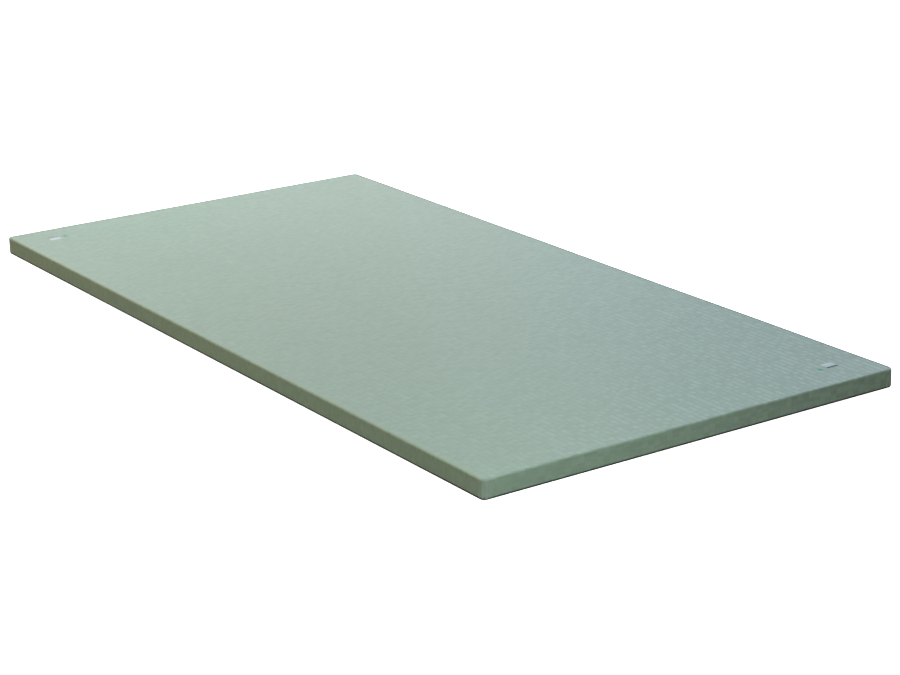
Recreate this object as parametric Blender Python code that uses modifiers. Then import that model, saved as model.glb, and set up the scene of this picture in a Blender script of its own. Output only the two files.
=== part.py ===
"""Tatami judo mat: a foam slab in a folded vinyl cover, on a rubber base, with patches by two corners.

Metres, +Z up. The origin is on the floor under the middle of the mat.
The length runs along X, the width along Y, and the floor is at Z = 0.
"""

import math

import bmesh
import bpy

# Outer size, over the cover.
LENGTH = 2.000
WIDTH = 1.000
THICKNESS = 0.040

# Clearance between two pieces that touch on the real mat.
GAP = 0.0003

# Rounding of the cover's outer surface.
CORNER_RADIUS = 0.010
TOP_EDGE_RADIUS = 0.003
BOTTOM_EDGE_RADIUS = 0.002
CORNER_SEGMENTS = 8
EDGE_SEGMENTS = 5

# The vinyl sheet, and how far it turns in under the mat.
COVER_SHEET = 0.0009
HEM_WIDTH = 0.040

# The rubber sheet, and how far it stays in from the mat's edge.
BASE_SHEET = 0.0020
BASE_INSET = 0.0008
BASE_CORNER_RADIUS = 0.009
BASE_EDGE_RADIUS = 0.0004

# The patches by two opposite corners. Distances are from the mat's short and long edges to a patch's middle,
# for the pair on the right and then for the pair on the left.
PATCH_SHEET = 0.0005
PATCH_CORNER_RADIUS = 0.0025
PATCH_CORNER_SEGMENTS = 4
PATCH_EDGE_RADIUS = 0.00015
PATCH_EDGE_SEGMENTS = 2
LABEL_SIZE = (0.024, 0.028)
LABEL_FROM_SHORT_EDGE = (0.088, 0.086)
LABEL_FROM_LONG_EDGE = (0.091, 0.085)
TAB_SIZE = (0.011, 0.010)
TAB_FROM_SHORT_EDGE = (0.080, 0.080)
TAB_FROM_LONG_EDGE = (0.123, 0.116)

# Heights that follow from the sheets above.
COVER_BOTTOM = BASE_SHEET + GAP
CORE_BOTTOM = COVER_BOTTOM + COVER_SHEET + GAP
CORE_INSET = COVER_SHEET + GAP

# Surface colours, linear RGB.
VINYL_GREEN = (0.35, 0.43, 0.37)
FOAM_GREY = (0.22, 0.23, 0.26)
RUBBER_BLACK = (0.025, 0.026, 0.027)
LABEL_SILVER = (0.55, 0.60, 0.65)
TAB_TEAL = (0.10, 0.35, 0.32)


def clear_scene():
    """Removes every object of the open file."""
    for item in list(bpy.data.objects):
        bpy.data.objects.remove(item, do_unlink=True)


def new_collection(name):
    """A collection in the scene, to hold the mat's pieces."""
    made = bpy.data.collections.new(name)
    bpy.context.scene.collection.children.link(made)
    return made


def surface(name, colour, roughness):
    """A plain non-metal material."""
    material = bpy.data.materials.new(name)
    material.use_nodes = True
    shader = material.node_tree.nodes["Principled BSDF"]
    shader.inputs["Base Color"].default_value = (*colour, 1.0)
    shader.inputs["Roughness"].default_value = roughness
    shader.inputs["Metallic"].default_value = 0.0
    return material


def add_piece(name, mesh, material, collection, place=(0.0, 0.0, 0.0), turn=0.0):
    """Puts a mesh in the scene as one named piece, turned about Z."""
    if not mesh.materials:
        mesh.materials.append(material)
    piece = bpy.data.objects.new(name, mesh)
    piece.location = place
    piece.rotation_euler = (0.0, 0.0, turn)
    collection.objects.link(piece)
    return piece


def upright_edges(bm):
    """The edges that run along Z."""
    return [e for e in bm.edges if e.verts[0].co.xy == e.verts[1].co.xy]


def level_edges(bm, height):
    """The edges whose two ends are at one height."""
    return [e for e in bm.edges if all(abs(v.co.z - height) < 1e-6 for v in e.verts)]


def level_face(bm, height):
    """The largest flat face at one height."""
    level = [f for f in bm.faces if all(abs(v.co.z - height) < 1e-6 for v in f.verts)]
    return max(level, key=lambda face: face.calc_area())


def round_over(bm, edges, radius, segments):
    """Rounds edges with a bevel of the given radius."""
    bmesh.ops.bevel(
        bm,
        geom=edges,
        offset=radius,
        offset_type="OFFSET",
        segments=segments,
        profile=0.5,
        affect="EDGES",
        clamp_overlap=True,
    )


def rounded_slab(size, bottom, top, radii, segments=(CORNER_SEGMENTS, EDGE_SEGMENTS)):
    """A slab centred on Z, with radii for its corners in plan, its top edges and its bottom edges."""
    corner_radius, top_radius, bottom_radius = radii
    corner_segments, edge_segments = segments
    bm = bmesh.new()
    bmesh.ops.create_cube(bm, size=1.0)
    bmesh.ops.scale(bm, vec=(size[0], size[1], top - bottom), verts=bm.verts)
    bmesh.ops.translate(bm, vec=(0.0, 0.0, (top + bottom) / 2), verts=bm.verts)
    round_over(bm, upright_edges(bm), corner_radius, corner_segments)
    round_over(bm, level_edges(bm, top), top_radius, edge_segments)
    round_over(bm, level_edges(bm, bottom), bottom_radius, edge_segments)
    return bm


def middle_of_face(bm, height, half_x, half_y):
    """Splits the flat face at one height along a centred rectangle, and returns the rectangle's face."""
    cuts = (
        ((half_x, 0.0, height), (1.0, 0.0, 0.0)),
        ((-half_x, 0.0, height), (-1.0, 0.0, 0.0)),
        ((0.0, half_y, height), (0.0, 1.0, 0.0)),
        ((0.0, -half_y, height), (0.0, -1.0, 0.0)),
    )
    for point, direction in cuts:
        face = level_face(bm, height)
        bmesh.ops.bisect_plane(
            bm,
            geom=[face, *face.edges, *face.verts],
            dist=1e-6,
            plane_co=point,
            plane_no=direction,
        )
    return level_face(bm, height)


def finished_mesh(bm, name):
    """Turns a bmesh into a smooth-shaded mesh that keeps its sharp edges."""
    bmesh.ops.recalc_face_normals(bm, faces=bm.faces)
    mesh = bpy.data.meshes.new(name)
    bm.to_mesh(mesh)
    bm.free()
    mesh.shade_smooth()
    mesh.set_sharp_from_angle(angle=math.radians(40))
    return mesh


def foam_core(collection):
    """The rebonded foam slab that fills the cover."""
    size = (LENGTH - 2 * CORE_INSET, WIDTH - 2 * CORE_INSET)
    radii = (
        CORNER_RADIUS - CORE_INSET,
        TOP_EDGE_RADIUS - CORE_INSET,
        BOTTOM_EDGE_RADIUS - CORE_INSET,
    )
    bm = rounded_slab(size, CORE_BOTTOM, THICKNESS - CORE_INSET, radii)
    mesh = finished_mesh(bm, "foam_core")
    add_piece("foam_core", mesh, surface("foam", FOAM_GREY, 0.95), collection)


def cover(collection):
    """The vinyl sheet: top, four skirts, and a hem turned in under the mat, open in the middle."""
    radii = (CORNER_RADIUS, TOP_EDGE_RADIUS, BOTTOM_EDGE_RADIUS)
    bm = rounded_slab((LENGTH, WIDTH), COVER_BOTTOM, THICKNESS, radii)
    opening = middle_of_face(bm, COVER_BOTTOM, LENGTH / 2 - HEM_WIDTH, WIDTH / 2 - HEM_WIDTH)
    bmesh.ops.delete(bm, geom=[opening], context="FACES")
    mesh = finished_mesh(bm, "cover")
    piece = add_piece("cover", mesh, surface("vinyl", VINYL_GREEN, 0.55), collection)
    thicken = piece.modifiers.new("sheet_thickness", "SOLIDIFY")
    thicken.thickness = COVER_SHEET
    thicken.offset = -1.0
    thicken.use_even_offset = True
    thicken.use_rim = True


def anti_slip_base(collection):
    """The rubber sheet: its rim lies under the hem and its middle steps up to the foam inside it."""
    size = (LENGTH - 2 * BASE_INSET, WIDTH - 2 * BASE_INSET)
    radii = (BASE_CORNER_RADIUS, BASE_EDGE_RADIUS, BASE_EDGE_RADIUS)
    bm = rounded_slab(size, 0.0, BASE_SHEET, radii)
    half_x = LENGTH / 2 - HEM_WIDTH - GAP
    half_y = WIDTH / 2 - HEM_WIDTH - GAP
    middle = middle_of_face(bm, BASE_SHEET, half_x, half_y)
    raised = bmesh.ops.extrude_discrete_faces(bm, faces=[middle])["faces"][0]
    step = CORE_BOTTOM - GAP - BASE_SHEET
    bmesh.ops.translate(bm, vec=(0.0, 0.0, step), verts=raised.verts)
    mesh = finished_mesh(bm, "anti_slip_base")
    add_piece("anti_slip_base", mesh, surface("rubber", RUBBER_BLACK, 0.8), collection)


def patch_pair(name, size, from_edges, material, collection):
    """Two equal patches on the cover, by diagonally opposite corners. The left one is turned half round."""
    radii = (PATCH_CORNER_RADIUS, PATCH_EDGE_RADIUS, PATCH_EDGE_RADIUS)
    segments = (PATCH_CORNER_SEGMENTS, PATCH_EDGE_SEGMENTS)
    bm = rounded_slab(size, 0.0, PATCH_SHEET, radii, segments)
    mesh = finished_mesh(bm, name)
    height = THICKNESS + GAP
    right, left = zip(*from_edges)
    right_place = (LENGTH / 2 - right[0], WIDTH / 2 - right[1], height)
    left_place = (left[0] - LENGTH / 2, left[1] - WIDTH / 2, height)
    add_piece(f"{name}_right", mesh, material, collection, right_place)
    add_piece(f"{name}_left", mesh, material, collection, left_place, math.pi)


def build():
    clear_scene()
    mat = new_collection("tatami_mat")
    foam_core(mat)
    cover(mat)
    anti_slip_base(mat)
    silver = surface("label_silver", LABEL_SILVER, 0.4)
    teal = surface("tab_teal", TAB_TEAL, 0.45)
    patch_pair("label_patch", LABEL_SIZE, (LABEL_FROM_SHORT_EDGE, LABEL_FROM_LONG_EDGE), silver, mat)
    patch_pair("label_tab", TAB_SIZE, (TAB_FROM_SHORT_EDGE, TAB_FROM_LONG_EDGE), teal, mat)


build()
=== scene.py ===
"""Looks of the tatami judo mat: embossed vinyl cover with folded corners, waffle rubber base, blank patches.

Metres, +Z up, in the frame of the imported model: the length runs along X and the width along Y.
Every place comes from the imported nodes' boxes and from the sizes below.
"""

import math

import bmesh
import bpy
import numpy as np
from mathutils import Matrix, Quaternion, Vector


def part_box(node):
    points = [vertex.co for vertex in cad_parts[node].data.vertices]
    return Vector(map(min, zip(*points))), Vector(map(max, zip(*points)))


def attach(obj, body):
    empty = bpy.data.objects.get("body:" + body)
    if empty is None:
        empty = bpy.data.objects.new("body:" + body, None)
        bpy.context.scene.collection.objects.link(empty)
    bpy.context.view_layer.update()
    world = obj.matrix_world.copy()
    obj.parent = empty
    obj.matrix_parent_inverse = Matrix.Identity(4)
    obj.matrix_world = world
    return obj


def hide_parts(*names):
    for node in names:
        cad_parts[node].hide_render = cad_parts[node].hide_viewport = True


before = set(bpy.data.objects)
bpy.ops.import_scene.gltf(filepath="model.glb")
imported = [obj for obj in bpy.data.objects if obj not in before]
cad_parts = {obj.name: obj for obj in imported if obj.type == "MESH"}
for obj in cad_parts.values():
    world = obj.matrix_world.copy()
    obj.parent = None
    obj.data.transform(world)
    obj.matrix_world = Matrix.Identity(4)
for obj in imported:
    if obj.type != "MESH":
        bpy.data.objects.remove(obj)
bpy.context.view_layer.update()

MM = 0.001

# Camera, at the height of someone standing a few steps off the near corner.
CAMERA_PLACE = (4.172, -2.715, 1.580)
CAMERA_TARGET = (0.302, -0.0904, 0.040)
CAMERA_ROLL = math.radians(-1.11)
CAMERA_LENS = 94.34

# Rounding of the cover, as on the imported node.
CORNER_RADIUS = 10.0 * MM
TOP_RADIUS = 3.0 * MM
BOTTOM_RADIUS = 2.0 * MM
COVER_SHEET = 0.9 * MM
HEM_WIDTH = 40.0 * MM
FILLET_STEPS = 5
SHARP_FROM = math.radians(50)

# How far in from a corner the middle of a quarter circle is, as a share of its radius.
ARC_MIDDLE = 0.3

# The straw pattern: ribs along X, and straws that run across each rib.
RIB_PITCH = 14.8 * MM
GROOVE_DEPTH = 0.08 * MM
GROOVE_WIDTH = 1.15 * MM
CROWN_HEIGHT = 0.03 * MM
RELIEF_LEFT_ON_SIDES = 0.3
STRAW_PITCH = 1.85 * MM
PLACES_BY_GROOVE = (-2.4 * MM, -1.0 * MM, 0.0, 1.0 * MM, 2.4 * MM, 7.4 * MM)

# How uneven the cover lies.
WAVE_HEIGHT = 0.22 * MM
WAVE_LENGTHS = (0.17, 0.62)
WAVE_COUNT = 14
WAVE_SEED = 5

# Folded corners: the long side's skirt wraps round the corner and ends in a slanted edge on the short side.
FLAP_STEP = 0.75 * MM
FLAP_REACH_TOP = 29.0 * MM
FLAP_REACH_BOTTOM = 17.0 * MM
FLAP_EDGE = 0.7 * MM
FLAP_START = 9.0 * MM
FLAP_SETTLED = 20.0 * MM
FLAP_END = 45.0 * MM
STEP_START = 7.0 * MM
STEP_FULL = 15.0 * MM
WARP_REACH = 48.0 * MM
CORNER_STEPS = 40
PLEAT_PITCH = 9.0 * MM
PLEAT_DEPTH = 1.1 * MM
PLEAT_LONG_SIDE = 24.0 * MM
PLEAT_START = 10.0 * MM
FAN_AT_TOP = 0.55

# Where the skirt starts, where the rounded edge ends, and where the sheet turns in under the mat, all as ways down
# the profile from the top grid.
SKIRT_START = 6.0 * MM
SKIRT_FULL = 14.0 * MM
ROUNDING_FADE = 8.0 * MM
ROUNDING_END = 12.0 * MM
HEM_START = 46.0 * MM

# The number of the corner at +X +Y, and which part of it counts as turned away, by how far it faces +Y. That part
# gets painted shade, and its gathered cover gets no painted highlight.
FAR_CORNER = 3
AWAY_START = 0.2
AWAY_FULL = 0.7
AWAY_FADE = 0.9

# Spacing of the mesh on the cover.
LONG_SPACING = 40.0 * MM
FINE_SPACING_X = 1.4 * MM
FINE_REACH_X = 28.0 * MM
FINE_SPACING_Y = 0.9 * MM
FINE_REACH_Y = 20.0 * MM

# Waffle pattern of the rubber base, and the step up to the middle inside the cover's hem.
CELL_PITCH = 16.0 * MM
CELL_RIDGE = 2.4 * MM
CELL_SLOPE = 1.1 * MM
CELL_DEPTH = 1.0 * MM
BASE_CORNER = 9.0 * MM
BASE_FILLET = 0.4 * MM
BASE_SHEET = 2.0 * MM
HEM_GAP = 0.3 * MM

# Patches: a thin sheet with a welded rim. The rim's profile is (way in from the edge, height over the cover).
PATCH_CORNER = 2.5 * MM
PATCH_RIM = (
    (2.0 * MM, 0.74 * MM),
    (1.6 * MM, 0.45 * MM),
    (1.2 * MM, 0.40 * MM),
    (0.5 * MM, 0.46 * MM),
    (0.1 * MM, 0.34 * MM),
    (0.0 * MM, 0.15 * MM),
    (0.0 * MM, -0.10 * MM),
)
PATCH_TOP = 0.76 * MM
PATCH_SPACING = 1.0 * MM
PATCH_WAVE = 0.05 * MM
PATCH_WAVE_RATE = 20
PATCH_WAVE_SEED = 11

# The patches' weave, and the plain band and rule on the silver ones.
WEAVE_PITCH = 0.6 * MM
BAND_WIDTH = 5.0 * MM
BAND_BLUR = 0.2 * MM
RULE_PLACE = 1.0 * MM
RULE_HALF = 1.0 * MM

# Surface colours, linear RGB.
VINYL_GREEN = (0.315, 0.410, 0.325)
# Painted warm highlight along the rounding of the near long edge.
VINYL_WARM_HIGHLIGHT = (0.345, 0.415, 0.290)
# Painted highlight on the gathered corners.
VINYL_PALE_HIGHLIGHT = (0.370, 0.450, 0.400)
# Painted cooler light toward the corner at +X +Y.
VINYL_COOL_LIGHT = (0.315, 0.412, 0.355)
FOAM_COLOURS = ((0.22, 0.23, 0.26), (0.07, 0.09, 0.17), (0.45, 0.44, 0.40), (0.24, 0.07, 0.06))
RUBBER_BLACK = (0.022, 0.023, 0.024)
SILVER = (0.51, 0.60, 0.585)
SILVER_LINE = (0.05, 0.07, 0.075)
TEAL = (0.13, 0.32, 0.28)
VINYL_ROUGHNESS = 0.5

# Height of the pressed straws in millimetres, how far they wander in straw widths, and how often per metre.
STRAW_RELIEF = 0.10
STRAW_WANDER = 0.8
STRAW_WANDER_RATE = 60.0

# How much darker the line between two straws is, as painted shade in the crease, and how much the straws differ in
# tone.
CREASE_SHADE = 0.08
STRAW_TONE = 0.09

# Where a groove starts and ends, as a share of the rib pitch from its middle.
GROOVE_SIDES = (0.14, 0.02)

# How much painted shade darkens a groove, at its faintest and at its strongest, by the corner at +X +Y.
# It grows with the place across plus this share of the place along, between two values in metres.
GROOVE_SHADE = (0.02, 0.42)
GROOVE_ALONG = 0.8
GROOVE_RANGE = (0.1, 1.25)

# How much the tone changes along a rib and over what length, and how mottled the vinyl is.
RIB_TONE = 0.075
DASH_LENGTH = 14.0 * MM
MOTTLE = 0.11
MOTTLE_RATE = 110.0

# Painted shade: how much darker the rounding is along the far edges and round the corner at +X +Y.
FAR_ROUNDING_SHADE = 0.35

# Floor, backdrop and surround.
FLOOR_HALF = 30.0
BACKDROP_RADIUS = 28.0
WHITE_GLOW = 1.05
WORLD_ABOVE = (0.28, 0.28, 0.28)
WORLD_BELOW = (0.06, 0.06, 0.06)
HORIZON_BLUR = 0.1

# Soft round lights: name, place, the point it is aimed at, width, power in watts and colour.
LIGHTS = (
    ("back", (0.00, 3.90, 2.25), (0.0, 0.0, 0.0), 2.0, 135.0, (0.68, 0.77, 1.00)),
    ("front", (0.00, -3.90, 2.25), (0.0, 0.0, 0.0), 2.0, 36.2, (1.00, 0.94, 0.59)),
    ("left", (-3.58, -2.50, 1.09), (0.0, 0.0, 0.0), 2.0, 30.2, (1.00, 0.67, 0.38)),
    ("sheen", (-3.66, 2.38, 1.09), (0.0, 0.0, 0.0), 2.0, 11.4, (1.00, 0.83, 0.78)),
    ("over_left", (-1.60, -0.20, 1.40), (-0.6, 0.0, 0.04), 1.0, 17.6, (0.93, 0.95, 1.00)),
    ("over_back", (-1.20, 1.40, 1.40), (-0.4, 0.2, 0.04), 1.0, 5.5, (0.57, 0.74, 1.00)),
    ("over_near", (0.90, -1.20, 1.60), (0.7, -0.3, 0.04), 1.0, 4.1, (0.58, 0.99, 1.00)),
    ("short_end", (1.90, -0.50, 0.45), (1.0, -0.35, 0.02), 0.5, 5.1, (0.85, 1.00, 0.89)),
)


# ---------------------------------------------------------------- mesh tools


def smoothstep(low, high, value):
    """0 below low, 1 above high, and a smooth turn between them."""
    share = np.clip((value - low) / (high - low), 0.0, 1.0)
    return share * share * (3.0 - 2.0 * share)


def perimeter(xs, ys, corner_steps):
    """Stations round the rectangle of the grid xs by ys, anticlockwise from above.

    Gives each station's anchor on the rectangle, its outward direction, and the grid vertex at the anchor.
    """
    nx, ny = len(xs), len(ys)
    turns = np.arange(1, corner_steps) / corner_steps * math.pi / 2
    sides = (
        (-math.pi / 2, [(i, 0) for i in range(nx)]),
        (0.0, [(nx - 1, j) for j in range(ny)]),
        (math.pi / 2, [(i, ny - 1) for i in reversed(range(nx))]),
        (math.pi, [(0, j) for j in reversed(range(ny))]),
    )
    cells, angles = [], []
    for angle, side in sides:
        cells += side
        angles += [angle] * len(side)
        cells += [side[-1]] * len(turns)
        angles += list(angle + turns)
    cells = np.array(cells)
    anchor = np.stack([xs[cells[:, 0]], ys[cells[:, 1]]], axis=1)
    outward = np.stack([np.cos(angles), np.sin(angles)], axis=1)
    return anchor, outward, cells[:, 0] * ny + cells[:, 1]


def ring_points(anchor, outward, offset, height):
    """One ring at an offset from the grid's rectangle. An inward offset shrinks it and keeps its corners square."""
    inner = np.abs(anchor).max(axis=0) + min(offset, 0.0)
    flat = np.clip(anchor, -inner, inner) + outward * max(offset, 0.0)
    return np.column_stack([flat, np.full(len(flat), height)])


def slab_faces(nx, ny, stations, ring_count, corner_steps):
    """Faces of a slab: the top grid, the strips between rings, and a closing cap that faces down.

    Round a corner the first strip fans out from one grid vertex, so its faces drop the repeated corner.
    """
    grid = np.arange(nx * ny).reshape(nx, ny)
    quads = [grid[:-1, :-1], grid[1:, :-1], grid[1:, 1:], grid[:-1, 1:]]
    faces = [tuple(face) for face in np.stack(quads, axis=-1).reshape(-1, 4).tolist()]
    count = len(stations)
    rings = [stations] + [nx * ny + k * count + np.arange(count) for k in range(ring_count)]
    for upper, lower in zip(rings, rings[1:]):
        strip = [upper, lower, np.roll(lower, -1), np.roll(upper, -1)]
        faces += [tuple(dict.fromkeys(face)) for face in np.stack(strip, axis=-1).tolist()]
    last = rings[-1].tolist()
    turn = nx + ny + 2 * (corner_steps - 1)
    near = last[:nx]
    far = last[turn:][:nx][::-1]
    faces += [(near[i], far[i], far[i + 1], near[i + 1]) for i in range(nx - 1)]
    faces.append(tuple(reversed(last[nx - 1 : turn + 1])))
    faces.append(tuple(reversed(last[turn + nx - 1 :] + last[:1])))
    return faces


def slab_mesh(name, points, faces, layers=None):
    """A smooth-shaded mesh from points, faces and named layers of vectors, with coincident points merged."""
    mesh = bpy.data.meshes.new(name)
    mesh.from_pydata(points.tolist(), [], faces)
    for layer_name, vectors in (layers or {}).items():
        layer = mesh.attributes.new(layer_name, "FLOAT_VECTOR", "POINT")
        layer.data.foreach_set("vector", vectors.astype(np.float32).ravel())
    bm = bmesh.new()
    bm.from_mesh(mesh)
    bmesh.ops.remove_doubles(bm, verts=bm.verts, dist=1e-6)
    bm.to_mesh(mesh)
    bm.free()
    mesh.shade_smooth()
    mesh.set_sharp_from_angle(angle=SHARP_FROM)
    return mesh


def new_piece(name, mesh):
    """Puts a mesh in the scene."""
    piece = bpy.data.objects.new(name, mesh)
    bpy.context.scene.collection.objects.link(piece)
    return piece


# ---------------------------------------------------------------- the cover's shape


def cover_profile(way, top, bottom):
    """The cover's outer profile at a way along it from the top grid: offset, height and normal (out, up)."""
    flat = CORNER_RADIUS - TOP_RADIUS
    wall_start = flat + TOP_RADIUS * math.pi / 2
    wall_end = wall_start + (top - bottom) - TOP_RADIUS - BOTTOM_RADIUS
    hem_start = wall_end + BOTTOM_RADIUS * math.pi / 2
    if way <= flat:
        return way, top, 0.0, 1.0
    if way <= wall_start:
        turn = (way - flat) / TOP_RADIUS
        out, up = math.sin(turn), math.cos(turn)
        return flat + TOP_RADIUS * out, top - TOP_RADIUS * (1.0 - up), out, up
    if way <= wall_end:
        return CORNER_RADIUS, top - TOP_RADIUS - (way - wall_start), 1.0, 0.0
    if way <= hem_start:
        turn = (way - wall_end) / BOTTOM_RADIUS
        out, up = math.cos(turn), -math.sin(turn)
        inset = BOTTOM_RADIUS * (1.0 - out)
        return CORNER_RADIUS - inset, bottom + BOTTOM_RADIUS * (1.0 + up), out, up
    return CORNER_RADIUS - BOTTOM_RADIUS - (way - hem_start), bottom, 0.0, -1.0


def groove_centres(half):
    """The grooves between the grid's middle and half, and as many on the other side."""
    count = int(half / RIB_PITCH + 0.5)
    places = (np.arange(count) + 0.5) * RIB_PITCH
    return np.concatenate([-places[::-1], places])


def cover_rows(half):
    """Places across the mat: six to a rib, and closer ones by the two long edges."""
    places = np.concatenate([groove_centres(half) + step for step in PLACES_BY_GROOVE])
    start = half - FINE_REACH_Y
    places = places[np.abs(places) < start - 0.5 * FINE_SPACING_Y]
    fine = np.linspace(start, half, int(FINE_REACH_Y / FINE_SPACING_Y) + 1)
    return np.unique(np.round(np.concatenate([-fine, places, fine]), 7))


def cover_columns(half):
    """Places along the mat: an even spacing, and closer ones by the two short edges."""
    start = half - FINE_REACH_X
    middle = np.linspace(-start, start, int(2 * start / LONG_SPACING) + 1)
    fine = np.linspace(start, half, int(FINE_REACH_X / FINE_SPACING_X) + 1)[1:]
    return np.concatenate([-fine[::-1], middle, fine])


def profile_ways(half_width, total):
    """Where the outer rings lie along the profile: denser at the grooves that run along the long sides."""
    count = int((half_width + total) / RIB_PITCH + 0.5)
    grooves = (np.arange(count) + 0.5) * RIB_PITCH - half_width
    ways = [groove + step for groove in grooves for step in PLACES_BY_GROOVE]
    fillets = [CORNER_RADIUS - TOP_RADIUS, CORNER_RADIUS - TOP_RADIUS + TOP_RADIUS * math.pi / 2]
    fillets += [total - BOTTOM_RADIUS * math.pi / 2, total - BOTTOM_RADIUS * math.pi / 4, total]
    ways = [way for way in ways if way > 2 * MM and min(abs(way - f) for f in fillets) > 0.7 * MM]
    return sorted([way for way in ways if way < total] + fillets)


def rib_relief(across):
    """Height of the embossed ribs at a place across the sheet."""
    phase = np.mod(across / RIB_PITCH, 1.0) - 0.5
    groove = np.exp(-((phase * RIB_PITCH / GROOVE_WIDTH) ** 2))
    crown = 0.5 - 0.5 * np.cos(2 * math.pi * phase)
    return CROWN_HEIGHT * crown - GROOVE_DEPTH * groove


def low_waves(along, across, seed):
    """Slow unevenness of the sheet, as a sum of long waves in random directions."""
    random = np.random.default_rng(seed)
    total = np.zeros_like(along)
    for _ in range(WAVE_COUNT):
        length = random.uniform(*WAVE_LENGTHS)
        heading = random.uniform(0.0, 2 * math.pi)
        phase = random.uniform(0.0, 2 * math.pi)
        place = along * math.cos(heading) + across * math.sin(heading)
        total += np.sin(2 * math.pi * place / length + phase)
    return total / math.sqrt(WAVE_COUNT)


def pleat_wave(place, corner):
    """Uneven small pleats along the corner, from -1 to 1, different at each corner."""
    turn = 2 * math.pi * place / PLEAT_PITCH
    first = np.sin(turn + 1.7 * corner)
    second = np.sin(0.62 * turn + 2.3 * corner + 0.8)
    third = np.sin(1.71 * turn + 0.9 * corner + 2.1)
    return 0.55 * first + 0.3 * second + 0.25 * third


def flap_edge_place(half_width, way):
    """How far across the mat the flap's slanted edge is, at a way down the profile."""
    down = np.clip((way - FLAP_START) / (FLAP_END - FLAP_START), 0.0, 1.0)
    reach = FLAP_REACH_TOP + (FLAP_REACH_BOTTOM - FLAP_REACH_TOP) * down
    return half_width + CORNER_RADIUS - reach


def slant_rows(anchor, outward, way, half_width):
    """Shifts the short sides' stations so that one line of the mesh follows the flap's slanted edge."""
    across = np.abs(anchor[:, 1])
    fixed = half_width + CORNER_RADIUS - FLAP_REACH_TOP
    shift = flap_edge_place(half_width, way) - fixed
    rising = (across - (fixed - WARP_REACH + FLAP_REACH_TOP)) / (WARP_REACH - FLAP_REACH_TOP)
    falling = (half_width - across) / (half_width - fixed)
    share = np.clip(np.minimum(rising, falling), 0.0, 1.0) * (np.abs(outward[:, 0]) > 0.999)
    slanted = anchor.copy()
    slanted[:, 1] += np.sign(anchor[:, 1]) * shift * share
    return slanted


def corner_place(anchor, outward, half_width):
    """Way round the corner from the long side's end: negative on the long side, growing onto the short side."""
    turn = np.arctan2(np.abs(outward[:, 0]), np.abs(outward[:, 1]))
    on_short = np.abs(outward[:, 0]) > 0.999
    on_long = np.abs(outward[:, 1]) > 0.999
    half_length = np.abs(anchor[:, 0]).max()
    along = CORNER_RADIUS * turn
    along = np.where(on_short, CORNER_RADIUS * math.pi / 2 + half_width - np.abs(anchor[:, 1]), along)
    return np.where(on_long, np.abs(anchor[:, 0]) - half_length, along)


def outer_ring(anchor, outward, way, box, half_width):
    """One ring of the cover's outer skin, with its relief, its place on the flat sheet, and its zone.

    The third value of the place is how far the straws are out of line, from 0 to 1. The zone is the share of
    skirt, of gathered corner and of rounded edge. The last is 1 along the near long edge, where a painted highlight
    goes, and -1 along the far ones and on the skirt of the corner at +X +Y as it turns away, where painted shade
    goes.
    """
    offset, height, out, up = cover_profile(way, box[1].z, box[0].z)
    anchor = slant_rows(anchor, outward, way, half_width)
    points = ring_points(anchor, outward, offset, height)
    normal = np.column_stack([outward * out, np.full(len(outward), up)])
    side = np.sign(anchor)
    place = corner_place(anchor, outward, half_width)
    edge = flap_edge_place(half_width, way)
    on_short = np.abs(outward[:, 0]) > 0.999
    flap = np.where(on_short, smoothstep(0.0, FLAP_EDGE, np.abs(anchor[:, 1]) - edge), 1.0)
    wrapped = np.where(place > 0.0, flap, 0.0) * smoothstep(FLAP_START, FLAP_SETTLED, way)
    sheet = anchor + outward * way
    half_length = np.abs(anchor[:, 0]).max()
    wrap = np.column_stack([side[:, 0] * (half_length + place), side[:, 1] * (half_width + way)])
    sheet += (wrap - sheet) * wrapped[:, None]
    corner = (side[:, 0] > 0) * 2 + (side[:, 1] > 0)
    arc = CORNER_RADIUS * math.pi / 2
    settled = smoothstep(FLAP_START, FLAP_SETTLED, way)
    step = FLAP_STEP * smoothstep(0.0, arc, place) * flap * smoothstep(STEP_START, STEP_FULL, way)
    down = np.clip((way - PLEAT_START) / (FLAP_END - PLEAT_START), 0.0, 1.0)
    fan = FAN_AT_TOP + (1.0 - FAN_AT_TOP) * down
    gathered = smoothstep(-PLEAT_LONG_SIDE, 0.0, place) * np.where(on_short, flap, 1.0)
    pleats = PLEAT_DEPTH * down * gathered * pleat_wave((place - arc / 2) / fan, corner)
    calm = 1.0 if way < HEM_START else 0.0
    on_skirt = smoothstep(SKIRT_START, SKIRT_FULL, way)
    stretched = 1.0 - (1.0 - RELIEF_LEFT_ON_SIDES) * on_skirt
    relief = rib_relief(sheet[:, 1]) * stretched * (1.0 - 0.5 * gathered * settled) * calm
    waves = WAVE_HEIGHT * low_waves(sheet[:, 0], sheet[:, 1], WAVE_SEED)
    skirt = np.full(len(anchor), on_skirt)
    rounding = 1.0 - smoothstep(ROUNDING_FADE, ROUNDING_END, way)
    far = (outward[:, 1] > 0.5) | (outward[:, 0] < -0.5)
    # The rounded edge's band: 1 for a painted highlight along the near long edge, -1 for painted shade along the
    # far edges.
    edge_highlight_and_shade = np.where(far, -rounding, np.where(outward[:, 1] < -0.5, rounding, 0.0))
    turning_away = smoothstep(AWAY_START, AWAY_FULL, outward[:, 1])
    still_corner = 1.0 - smoothstep(AWAY_FADE, 1.0, outward[:, 1])
    far_corner = corner == FAR_CORNER
    # The skirt of the corner at +X +Y gets painted shade as it turns away.
    edge_highlight_and_shade -= far_corner * turning_away * still_corner * skirt
    # The gathered share carries a painted highlight, so the turned-away corner at +X +Y is left out of it.
    zone = np.column_stack([skirt, gathered * skirt * ~far_corner, edge_highlight_and_shade])
    sheet = np.column_stack([sheet, 1.0 - (2.0 * wrapped - 1.0) ** 8])
    return points + normal * (relief + waves * calm + step + pleats)[:, None], sheet, zone


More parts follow.
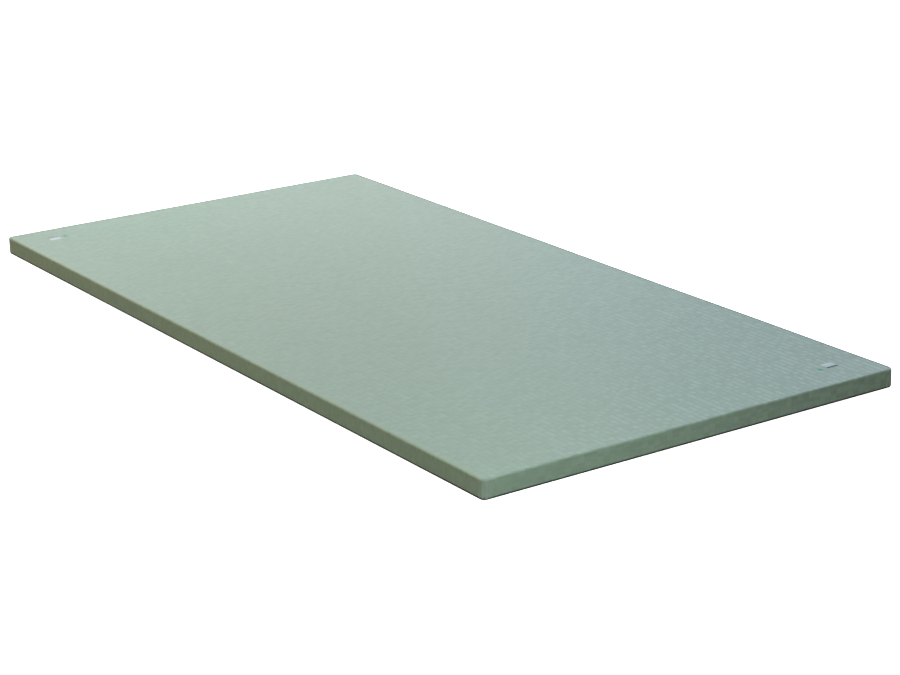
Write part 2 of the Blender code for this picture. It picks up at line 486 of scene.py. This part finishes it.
def make_cover():
    """The vinyl cover: embossed top, four skirts with folded corners, a hem, and a plain inner skin."""
    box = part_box("cover")
    half_length = box[1].x - CORNER_RADIUS
    half_width = box[1].y - CORNER_RADIUS
    columns = cover_columns(half_length)
    rows = cover_rows(half_width)
    anchor, outward, stations = perimeter(columns, rows, CORNER_STEPS)
    along, across = np.meshgrid(columns, rows, indexing="ij")
    sheet = np.column_stack([along.ravel(), across.ravel(), np.zeros(along.size)])
    lift = rib_relief(sheet[:, 1]) + WAVE_HEIGHT * low_waves(sheet[:, 0], sheet[:, 1], WAVE_SEED)
    points = [np.column_stack([sheet[:, :2], box[1].z + lift])]
    sheets, zones = [sheet], [np.zeros((len(sheet), 3))]
    thick = box[1].z - box[0].z
    wall = thick - TOP_RADIUS - BOTTOM_RADIUS
    total = CORNER_RADIUS - TOP_RADIUS + (TOP_RADIUS + BOTTOM_RADIUS) * math.pi / 2 + wall
    for way in profile_ways(half_width, total):
        ring, ring_sheet, zone = outer_ring(anchor, outward, way, box, half_width)
        points.append(ring)
        sheets.append(ring_sheet)
        zones.append(zone)
    hem = CORNER_RADIUS - HEM_WIDTH
    wall_offset = CORNER_RADIUS - COVER_SHEET
    plain = [
        (0.0, box[0].z),
        (hem, box[0].z),
        (hem, box[0].z + COVER_SHEET),
        (wall_offset - BOTTOM_RADIUS + COVER_SHEET, box[0].z + COVER_SHEET),
        (wall_offset, box[0].z + BOTTOM_RADIUS),
        (wall_offset, box[1].z - TOP_RADIUS),
        (wall_offset - ARC_MIDDLE * TOP_RADIUS, box[1].z - COVER_SHEET - ARC_MIDDLE * TOP_RADIUS),
        (CORNER_RADIUS - TOP_RADIUS, box[1].z - COVER_SHEET),
    ]
    for offset, height in plain:
        ring = ring_points(anchor, outward, offset, height)
        points.append(ring)
        sheets.append(np.column_stack([ring[:, :2], np.zeros(len(ring))]))
        zones.append(np.tile((1.0, 0.0, 0.0), (len(ring), 1)))
    faces = slab_faces(len(columns), len(rows), stations, len(points) - 1, CORNER_STEPS)
    layers = {"sheet": np.concatenate(sheets), "zone": np.concatenate(zones)}
    mesh = slab_mesh("mat_cover", np.concatenate(points), faces, layers)
    return new_piece("mat_cover", mesh)


# ---------------------------------------------------------------- the other pieces' shapes


def make_base():
    """The rubber sheet: dimples all over its underside, a plain rim, and a middle that rises inside the hem."""
    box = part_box("anti_slip_base")
    half = np.array([box[1].x, box[1].y]) - BASE_CORNER
    counts = np.round(2 * half / CELL_PITCH).astype(int)
    columns = np.linspace(-half[0], half[0], counts[0] + 1)
    rows = np.linspace(-half[1], half[1], counts[1] + 1)
    anchor, outward, stations = perimeter(columns, rows, FILLET_STEPS + 3)
    along, across = np.meshgrid(columns, rows, indexing="ij")
    points = [np.column_stack([along.ravel(), across.ravel(), np.zeros(along.size)])]
    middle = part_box("cover")[1].x - HEM_WIDTH - HEM_GAP - half[0]
    rings = [(BASE_CORNER - BASE_FILLET, 0.0)]
    rounded = ARC_MIDDLE * BASE_FILLET
    rings += [(BASE_CORNER - rounded, -rounded), (BASE_CORNER, -BASE_FILLET)]
    rings += [(BASE_CORNER, BASE_FILLET - BASE_SHEET), (BASE_CORNER - rounded, rounded - BASE_SHEET)]
    rings += [(BASE_CORNER - BASE_FILLET, -BASE_SHEET), (0.0, -BASE_SHEET)]
    rings += [(middle, -BASE_SHEET), (middle, -box[1].z)]
    points += [ring_points(anchor, outward, offset, height) for offset, height in rings]
    faces = slab_faces(len(columns), len(rows), stations, len(rings), FILLET_STEPS + 3)
    mesh = slab_mesh("waffle_base", np.concatenate(points), faces)
    bm = bmesh.new()
    bm.from_mesh(mesh)
    cells = [f for f in bm.faces if f.normal.z > 0.9 and max(abs(v.co.z) for v in f.verts) < 1e-6]
    cells = [f for f in cells if (np.abs(f.calc_center_median().xy) < half).all()]
    bmesh.ops.inset_individual(bm, faces=cells, thickness=CELL_RIDGE / 2, depth=0.0)
    bmesh.ops.inset_individual(bm, faces=cells, thickness=CELL_SLOPE, depth=-CELL_DEPTH)
    bmesh.ops.scale(bm, vec=(1.0, 1.0, -1.0), verts=bm.verts)
    bmesh.ops.reverse_faces(bm, faces=bm.faces)
    bm.to_mesh(mesh)
    bm.free()
    return new_piece("waffle_base", mesh)


def make_patch(name, node):
    """A thin patch on the cover, with a welded rim. The ones on the left are turned half round."""
    low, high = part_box(node)
    middle = (low + high) / 2
    half = (high - low).xy / 2 - Vector((PATCH_CORNER, PATCH_CORNER))
    columns = np.linspace(-half.x, half.x, int(2 * half.x / PATCH_SPACING) + 1)
    rows = np.linspace(-half.y, half.y, int(2 * half.y / PATCH_SPACING) + 1)
    anchor, outward, stations = perimeter(columns, rows, FILLET_STEPS + 1)
    along, across = np.meshgrid(columns, rows, indexing="ij")
    waves = low_waves(along.ravel() * PATCH_WAVE_RATE, across.ravel() * PATCH_WAVE_RATE, PATCH_WAVE_SEED)
    top = PATCH_TOP + PATCH_WAVE * waves
    points = [np.column_stack([along.ravel(), across.ravel(), top])]
    points += [ring_points(anchor, outward, PATCH_CORNER - way, height) for way, height in PATCH_RIM]
    faces = slab_faces(len(columns), len(rows), stations, len(PATCH_RIM), FILLET_STEPS + 1)
    points = np.concatenate(points)
    mesh = slab_mesh(name, points, faces, {"sheet": points * (1.0, 1.0, 0.0)})
    piece = new_piece(name, mesh)
    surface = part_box("cover")[1].z
    turn = Matrix.Rotation(0.0 if middle.x > 0 else math.pi, 4, "Z")
    piece.matrix_world = Matrix.Translation((middle.x, middle.y, surface)) @ turn
    return piece


# ---------------------------------------------------------------- materials


class Shader:
    """A Principled material under construction. Each method adds one node and returns its output."""

    def __init__(self, name, colour, roughness, specular=0.5):
        self.material = bpy.data.materials.new(name)
        self.material.use_nodes = True
        self.tree = self.material.node_tree
        self.main = self.tree.nodes["Principled BSDF"]
        self.set("Base Color", (*colour, 1.0))
        self.set("Roughness", roughness)
        self.set("Specular IOR Level", specular)

    def feed(self, socket, value):
        """Links an output to a socket, or sets the socket to a plain value."""
        if isinstance(value, bpy.types.NodeSocket):
            self.tree.links.new(value, socket)
        else:
            socket.default_value = value

    def set(self, name, value):
        self.feed(self.main.inputs[name], value)

    def math(self, operation, *values, clamp=False):
        node = self.tree.nodes.new("ShaderNodeMath")
        node.operation = operation
        node.use_clamp = clamp
        for socket, value in zip(node.inputs, values):
            self.feed(socket, value)
        return node.outputs[0]

    def total(self, *values):
        """The sum of several values."""
        result = values[0]
        for value in values[1:]:
            result = self.math("ADD", result, value)
        return result

    def scaled(self, value, factor, shift=0.0):
        return self.math("MULTIPLY_ADD", value, factor, shift)

    def split(self, vector):
        node = self.tree.nodes.new("ShaderNodeSeparateXYZ")
        self.feed(node.inputs[0], vector)
        return node.outputs

    def joined(self, x, y, z=0.0):
        node = self.tree.nodes.new("ShaderNodeCombineXYZ")
        for socket, value in zip(node.inputs, (x, y, z)):
            self.feed(socket, value)
        return node.outputs[0]

    def place(self, name):
        """A named attribute of the mesh, or the position in the mesh's own frame where name is None."""
        if name is None:
            return self.tree.nodes.new("ShaderNodeTexCoord").outputs["Object"]
        node = self.tree.nodes.new("ShaderNodeAttribute")
        node.attribute_name = name
        return node.outputs["Vector"]

    def noise(self, vector, scale, detail=2.0):
        node = self.tree.nodes.new("ShaderNodeTexNoise")
        self.feed(node.inputs["Vector"], vector)
        self.feed(node.inputs["Scale"], scale)
        self.feed(node.inputs["Detail"], detail)
        return node.outputs["Fac"]

    def random(self, x, y):
        """A value from 0 to 1 for each pair of whole numbers."""
        node = self.tree.nodes.new("ShaderNodeTexWhiteNoise")
        node.noise_dimensions = "2D"
        self.feed(node.inputs["Vector"], self.joined(x, y))
        return node.outputs["Value"]

    def ramp(self, value, low, high, start=0.0, end=1.0):
        """A smooth turn from start to end as value goes from low to high."""
        node = self.tree.nodes.new("ShaderNodeMapRange")
        node.interpolation_type = "SMOOTHSTEP"
        for socket, item in zip(node.inputs, (value, low, high, start, end)):
            self.feed(socket, item)
        return node.outputs[0]

    def mix(self, factor, first, second, blend="MIX"):
        """A mix of two colours, given as linear RGB or as outputs."""
        node = self.tree.nodes.new("ShaderNodeMix")
        node.data_type = "RGBA"
        node.blend_type = blend
        self.feed(node.inputs[0], factor)
        for socket, colour in ((node.inputs[6], first), (node.inputs[7], second)):
            self.feed(socket, colour if isinstance(colour, bpy.types.NodeSocket) else (*colour, 1.0))
        return node.outputs[2]

    def shade(self, colour, tone):
        """A colour times a grey tone."""
        node = self.tree.nodes.new("ShaderNodeVectorMath")
        node.operation = "SCALE"
        if isinstance(colour, bpy.types.NodeSocket):
            self.feed(node.inputs[0], colour)
        else:
            node.inputs[0].default_value = colour
        self.feed(node.inputs["Scale"], tone)
        return node.outputs[0]

    def weave(self, along, across):
        """A fine plain weave, from -1 to 1."""
        waves = [self.math("SINE", self.scaled(way, 2 * math.pi / WEAVE_PITCH)) for way in (along, across)]
        return self.math("MULTIPLY", *waves)

    def bump(self, height_mm):
        """Relief from a height in millimetres."""
        node = self.tree.nodes.new("ShaderNodeBump")
        node.inputs["Strength"].default_value = 1.0
        node.inputs["Distance"].default_value = MM
        self.feed(node.inputs["Height"], height_mm)
        self.set("Normal", node.outputs[0])


def vinyl_material():
    """Coated vinyl with rice straws pressed into it: each straw has its own tone. Painted shade darkens the grooves
    and the creases between straws, more toward the corner at +X +Y, where a cooler painted light is mixed in too. A
    painted warm highlight runs along the near long edge, the gathered corners are painted paler as a highlight, and
    the far rounding gets painted shade.
    """
    m = Shader("straw_vinyl", VINYL_GREEN, VINYL_ROUGHNESS)
    sheet = m.place("sheet")
    along, across, astray = m.split(sheet)
    skirt, gathered, edge = m.split(m.place("zone"))
    in_line = m.scaled(astray, -1.0, 1.0)
    wander = m.scaled(m.noise(sheet, STRAW_WANDER_RATE), 2 * STRAW_WANDER, -STRAW_WANDER)
    rib = m.scaled(across, 1.0 / RIB_PITCH, 0.5)
    rib_number = m.math("FLOOR", rib)
    from_groove = m.math("SUBTRACT", 0.5, m.math("ABSOLUTE", m.math("SUBTRACT", m.math("FRACT", rib), 0.5)))
    stagger = m.scaled(m.math("MODULO", rib_number, 2.0), 0.5)
    straw = m.total(m.scaled(along, 1.0 / STRAW_PITCH), stagger, wander)
    straw_number = m.math("FLOOR", straw)
    from_middle = m.math("ABSOLUTE", m.scaled(m.math("FRACT", straw), 2.0, -1.0))
    crease = m.math("MULTIPLY", m.math("POWER", from_middle, 3.0), in_line)
    own = m.math("MULTIPLY", m.random(straw_number, rib_number), in_line)
    groove = m.ramp(from_groove, *GROOVE_SIDES)
    alternate = m.math("ABSOLUTE", m.math("MODULO", m.total(straw_number, rib_number), 2.0))
    along_rib = m.joined(m.scaled(along, 1.0 / DASH_LENGTH), m.scaled(rib_number, 3.7))
    dash = m.ramp(m.noise(along_rib, 1.0, 1.0), 0.35, 0.65)
    # The painted shade ramp toward the corner at +X +Y: it sets how dark the grooves are painted, how much cooler
    # painted light is mixed in, and how widely the rib tone varies.
    depth = m.ramp(m.total(m.scaled(along, GROOVE_ALONG), across), *GROOVE_RANGE, *GROOVE_SHADE)
    pressed = m.math("MULTIPLY", groove, m.math("MULTIPLY", dash, m.scaled(skirt, -0.8, 1.0)))
    grain = m.noise(sheet, 1600.0, 1.0)
    height = m.total(
        m.scaled(crease, -STRAW_RELIEF),
        m.scaled(own, 0.3 * STRAW_RELIEF),
        m.math("MULTIPLY", pressed, m.scaled(alternate, -0.6 * STRAW_RELIEF, -0.4 * STRAW_RELIEF)),
        m.scaled(grain, 0.2 * STRAW_RELIEF),
    )
    m.bump(height)
    slow = m.noise(sheet, 5.0, 3.0)
    tone = m.total(
        m.scaled(own, STRAW_TONE, 1.0 - STRAW_TONE / 2),
        m.scaled(slow, 0.06, -0.03),
        # Random tone along each rib, spread wider by the painted shade ramp toward the corner at +X +Y.
        m.math("MULTIPLY", m.scaled(dash, RIB_TONE, -RIB_TONE / 2), m.scaled(depth, 4.0, 1.0)),
        m.scaled(m.noise(sheet, MOTTLE_RATE), MOTTLE, -MOTTLE / 2),
        # Painted shade in the creases between straws.
        m.scaled(crease, -CREASE_SHADE),
        # Painted shade in the grooves.
        m.math("MULTIPLY", pressed, m.scaled(depth, -1.0)),
        # Painted shade on the far rounding and the turned-away corner.
        m.scaled(m.math("MINIMUM", edge, 0.0), FAR_ROUNDING_SHADE),
    )
    # Painted warm highlight along the near long edge's rounding.
    near_edge_highlight = m.math("MAXIMUM", edge, 0.0)
    # Painted cooler light on the top, growing toward the corner at +X +Y.
    cool_light = m.math("MULTIPLY", m.scaled(depth, 1.0 / GROOVE_SHADE[1]), m.scaled(skirt, -1.0, 1.0))
    colour = m.mix(cool_light, VINYL_GREEN, VINYL_COOL_LIGHT)
    colour = m.mix(m.scaled(near_edge_highlight, 0.45), colour, VINYL_WARM_HIGHLIGHT)
    # Painted highlight: the gathered corners are made paler, all but the one at +X +Y.
    colour = m.mix(m.scaled(gathered, 0.5), colour, VINYL_PALE_HIGHLIGHT)
    m.set("Base Color", m.shade(colour, tone))
    m.set("Roughness", m.total(m.scaled(slow, 0.10, VINYL_ROUGHNESS - 0.05), m.scaled(pressed, 0.08)))
    return m.material


def rubber_material():
    """Black moulded rubber, a little dusty in uneven, cloudy patches."""
    m = Shader("waffle_rubber", RUBBER_BLACK, 0.72, 0.35)
    place = m.place(None)
    cloudy = m.noise(place, 9.0, 4.0)
    grain = m.noise(place, 900.0, 2.0)
    m.bump(m.scaled(grain, 0.12))
    m.set("Base Color", m.shade(RUBBER_BLACK, m.total(m.scaled(cloudy, 0.9, 0.6), m.scaled(grain, 0.3, -0.15))))
    m.set("Roughness", m.scaled(cloudy, 0.25, 0.62))
    return m.material


def foam_material():
    """Rebonded foam: chips of several colours pressed into one block."""
    m = Shader("chip_foam", FOAM_COLOURS[0], 0.95, 0.2)
    place = m.place(None)
    chips = m.tree.nodes.new("ShaderNodeTexVoronoi")
    chips.inputs["Scale"].default_value = 90.0
    m.feed(chips.inputs["Vector"], place)
    pick = m.split(chips.outputs["Color"])[0]
    colour = FOAM_COLOURS[0]
    for index, chip in enumerate(FOAM_COLOURS[1:]):
        start = 0.45 + 0.2 * index
        colour = m.mix(m.ramp(pick, start, start + 0.01), colour, chip)
    m.set("Base Color", colour)
    m.bump(m.total(m.scaled(chips.outputs["Distance"], -0.6), m.scaled(m.noise(place, 700.0, 3.0), 0.5)))
    return m.material


def silver_material(half_length):
    """A silver-grey woven sheet with a plain dark band by the mat's short end, and a thin rule in its middle."""
    m = Shader("silver_patch", SILVER, 0.42, 0.5)
    m.set("Metallic", 0.15)
    place = m.place("sheet")
    along, across, _ = m.split(place)
    band_start = half_length - BAND_WIDTH
    band = m.ramp(along, band_start - BAND_BLUR, band_start + BAND_BLUR)
    from_rule = m.math("ABSOLUTE", m.scaled(along, 1.0 / RULE_HALF, -RULE_PLACE / RULE_HALF))
    rule = m.math("SUBTRACT", 1.0, from_rule, clamp=True)
    worn = m.scaled(m.noise(place, 120.0, 3.0), 0.16, 0.92)
    lined = m.mix(m.scaled(rule, 0.6), m.shade(SILVER, worn), SILVER_LINE)
    m.set("Base Color", m.mix(band, lined, SILVER_LINE))
    m.bump(m.total(m.scaled(m.weave(along, across), 0.02), m.scaled(m.noise(place, 1500.0), 0.02)))
    return m.material


def teal_material():
    """A plain teal woven sheet."""
    m = Shader("teal_patch", TEAL, 0.5, 0.5)
    place = m.place("sheet")
    along, across, _ = m.split(place)
    m.set("Base Color", m.shade(TEAL, m.scaled(m.noise(place, 120.0, 3.0), 0.3, 0.85)))
    m.bump(m.scaled(m.weave(along, across), 0.03))
    return m.material


# ---------------------------------------------------------------- camera, floor and light


def make_camera():
    """A long-lens camera at the near corner, rolled a touch."""
    data = bpy.data.cameras.new("camera")
    data.lens = CAMERA_LENS
    data.sensor_width = 36.0
    camera = bpy.data.objects.new("camera", data)
    bpy.context.scene.collection.objects.link(camera)
    camera.location = CAMERA_PLACE
    aim = (Vector(CAMERA_TARGET) - Vector(CAMERA_PLACE)).to_track_quat("-Z", "Y")
    camera.rotation_mode = "QUATERNION"
    camera.rotation_quaternion = aim @ Quaternion((0.0, 0.0, 1.0), CAMERA_ROLL)
    bpy.context.scene.camera = camera


def glowing_white():
    """A white that gives its own light, so that it stays even."""
    m = Shader("glowing_white", (0.9, 0.9, 0.9), 1.0, 0.0)
    m.set("Emission Color", (1.0, 1.0, 1.0, 1.0))
    m.set("Emission Strength", WHITE_GLOW)
    return m.material


def make_stage():
    """A wide white floor and a white dome behind it, which the camera sees and the mat does not."""
    bm = bmesh.new()
    bmesh.ops.create_grid(bm, x_segments=1, y_segments=1, size=FLOOR_HALF)
    floor_mesh = bpy.data.meshes.new("floor")
    bm.to_mesh(floor_mesh)
    bm.free()
    bm = bmesh.new()
    bmesh.ops.create_uvsphere(bm, u_segments=48, v_segments=24, radius=BACKDROP_RADIUS)
    dome_mesh = bpy.data.meshes.new("backdrop")
    bm.to_mesh(dome_mesh)
    bm.free()
    white = glowing_white()
    for mesh in (floor_mesh, dome_mesh):
        mesh.materials.append(white)
        item = new_piece(mesh.name, mesh)
        item.visible_diffuse = False
        item.visible_glossy = False
        item.visible_shadow = False


def make_world():
    """A soft surround: one colour from above the horizon and a dimmer one from below it."""
    world = bpy.data.worlds.new("studio")
    bpy.context.scene.world = world
    world.use_nodes = True
    tree = world.node_tree
    place = tree.nodes.new("ShaderNodeTexCoord").outputs["Generated"]
    split = tree.nodes.new("ShaderNodeSeparateXYZ")
    tree.links.new(place, split.inputs[0])
    turn = tree.nodes.new("ShaderNodeMapRange")
    turn.interpolation_type = "SMOOTHSTEP"
    turn.inputs[1].default_value = -HORIZON_BLUR
    turn.inputs[2].default_value = HORIZON_BLUR
    tree.links.new(split.outputs[2], turn.inputs[0])
    mix = tree.nodes.new("ShaderNodeMix")
    mix.data_type = "RGBA"
    tree.links.new(turn.outputs[0], mix.inputs[0])
    mix.inputs[6].default_value = (*WORLD_BELOW, 1.0)
    mix.inputs[7].default_value = (*WORLD_ABOVE, 1.0)
    tree.links.new(mix.outputs[2], tree.nodes["Background"].inputs["Color"])


def make_lights():
    """Soft round lights, which the camera does not see."""
    for name, place, aim, width, power, colour in LIGHTS:
        data = bpy.data.lights.new(name, "AREA")
        data.shape = "DISK"
        data.size = width
        data.energy = power
        data.color = colour
        light = bpy.data.objects.new(name, data)
        light.location = place
        light.rotation_euler = (Vector(aim) - Vector(place)).to_track_quat("-Z", "Y").to_euler()
        light.visible_camera = False
        bpy.context.scene.collection.objects.link(light)


# ---------------------------------------------------------------- the mat


def settle(piece, node, material):
    """Gives a piece its material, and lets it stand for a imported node."""
    piece.data.materials.clear()
    piece.data.materials.append(material)
    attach(piece, "root")
    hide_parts(node)
    return piece


cover = settle(make_cover(), "cover", vinyl_material())
settle(make_base(), "anti_slip_base", rubber_material())
silver = silver_material((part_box("label_patch_right")[1].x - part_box("label_patch_right")[0].x) / 2)
teal = teal_material()
for side in ("right", "left"):
    settle(make_patch(f"silver_patch_{side}", f"label_patch_{side}"), f"label_patch_{side}", silver)
    settle(make_patch(f"teal_tab_{side}", f"label_tab_{side}"), f"label_tab_{side}", teal)
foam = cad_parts["foam_core"]
foam.material_slots[0].material = foam_material()

make_camera()
make_stage()
make_world()
make_lights()
bpy.context.scene.view_settings.view_transform = "Standard"
